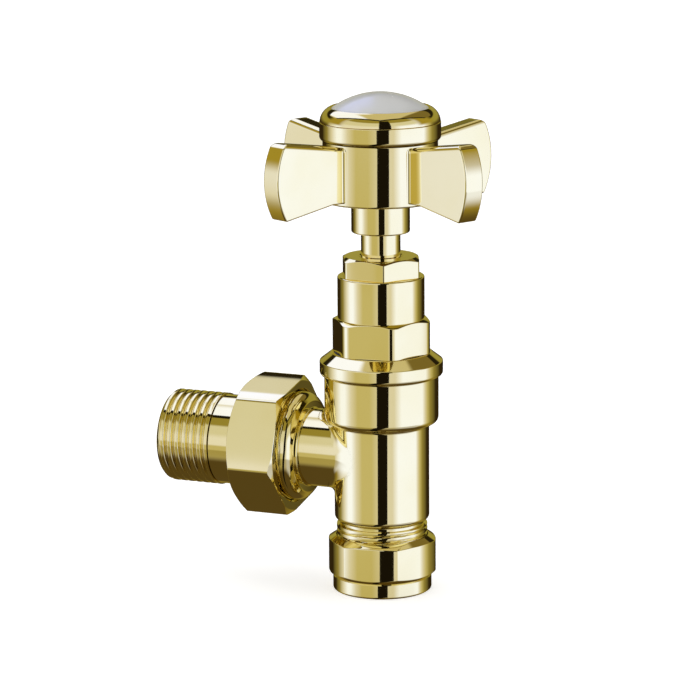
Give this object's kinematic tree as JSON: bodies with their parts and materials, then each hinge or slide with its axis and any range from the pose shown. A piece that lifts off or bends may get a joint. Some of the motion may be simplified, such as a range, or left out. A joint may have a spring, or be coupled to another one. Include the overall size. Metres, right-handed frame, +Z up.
{
  "type": "radiator valve",
  "caption": "Angle radiator valve with a crosshead handle, a compression inlet for a copper pipe and a union with a threaded tail.",
  "frame": {"origin": "on the upright axis, in the plane of the compression nut's underside, where the pipe enters", "axes": "+Z up along the spindle, the union and the tail leave along -X"},
  "size_m": [0.0795, 0.057, 0.1115],
  "materials": {
    "polished_brass": "polished, lacquered brass",
    "machined_brass": "turned brass",
    "steel": "plain steel",
    "rubber": "black sealing rubber",
    "packing": "off-white packing",
    "ceramic": "glossy white glaze"
  },
  "bodies": {
    "valve": {"valve_body": "polished_brass", "bonnet": "polished_brass", "bonnet_seal": "rubber", "gland_nut": "polished_brass", "gland_follower": "machined_brass", "gland_packing": "packing"},
    "disc": {"valve_disc": "machined_brass", "disc_washer": "rubber", "disc_nut": "machined_brass"},
    "handle": {"spindle": "machined_brass", "disc_pin": "steel", "crosshead": "polished_brass", "handle_screw": "steel", "screw_washer": "steel", "cap_ring": "polished_brass", "cap_o_ring": "rubber", "ceramic_button": "ceramic"},
    "tail": {"tailpiece": "polished_brass", "tail_o_ring": "rubber"},
    "union_nut": {"union_nut": "polished_brass"},
    "olive": {"olive": "machined_brass"},
    "compression_nut": {"compression_nut": "polished_brass"}
  },
  "joints": [
    {"name": "disc_lift", "type": "slide", "parent": "valve", "child": "disc", "axis": [0, 0, 1], "range_m": [-0.0048, 0.002]},
    {"name": "handle_turn", "type": "hinge", "parent": "disc", "child": "handle", "pos_m": [0, 0, 0.09], "axis": [0, 0, 1], "range_deg": [-864, 360]},
    {"name": "tail_pull", "type": "slide", "parent": "valve", "child": "tail", "axis": [-1, 0, 0], "range_m": [0, 0.006]},
    {"name": "union_nut_turn", "type": "hinge", "parent": "tail", "child": "union_nut", "pos_m": [-0.026, 0, 0.0308], "axis": [-1, 0, 0], "range_deg": [0, 1440]},
    {"name": "olive_slide", "type": "slide", "parent": "valve", "child": "olive", "axis": [0, 0, -1], "range_m": [0, 0.006]},
    {"name": "compression_nut_turn", "type": "hinge", "parent": "olive", "child": "compression_nut", "pos_m": [0, 0, 0.008], "axis": [0, 0, -1], "range_deg": [0, 1440]}
  ],
  "couplings": [
    {"joint": "handle_turn", "follows": "disc_lift", "rad_per_m": 3141.6},
    {"joint": "union_nut_turn", "follows": "tail_pull", "rad_per_m": 4188.8},
    {"joint": "compression_nut_turn", "follows": "olive_slide", "rad_per_m": 4188.8}
  ]
}
